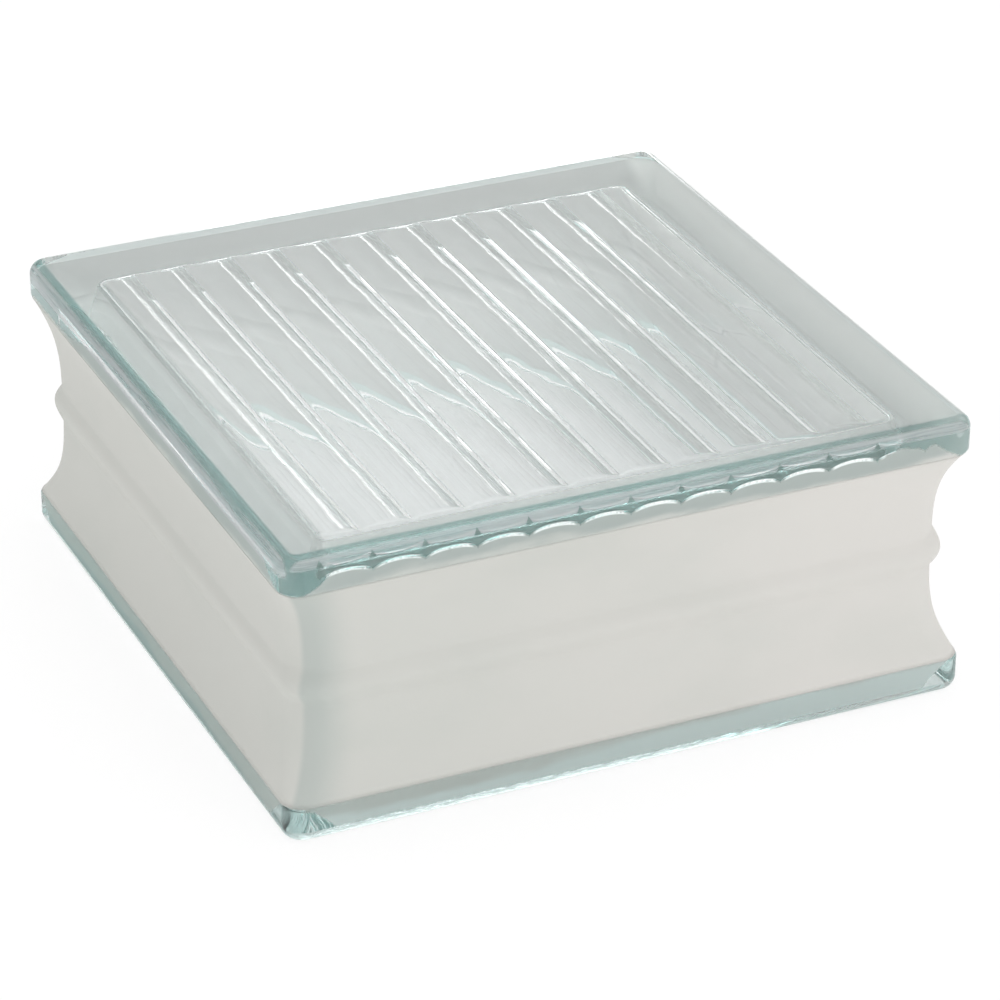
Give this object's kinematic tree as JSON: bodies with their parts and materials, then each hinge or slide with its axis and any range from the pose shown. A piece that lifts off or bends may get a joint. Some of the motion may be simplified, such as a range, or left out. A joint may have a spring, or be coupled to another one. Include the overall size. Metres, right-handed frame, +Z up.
{
  "type": "hollow glass block",
  "caption": "Square hollow glass building block with fluted inner faces, hollowed sides and an opaque edge coating.",
  "frame": {"origin": "middle of the outer face that the block lies on", "axes": "+Z up through the two faces, the flutes inside run along Y, X and Y are square to the sides"},
  "size_m": [0.19, 0.19, 0.08],
  "materials": {
    "pressed_glass": "clear pressed glass with a faint green tint, smooth outside",
    "edge_coating": "warm light grey sprayed polymer coating, matt"
  },
  "bodies": {
    "root": {"upper_half": "pressed_glass", "lower_half": "pressed_glass", "edge_coating": "edge_coating"}
  },
  "joints": []
}
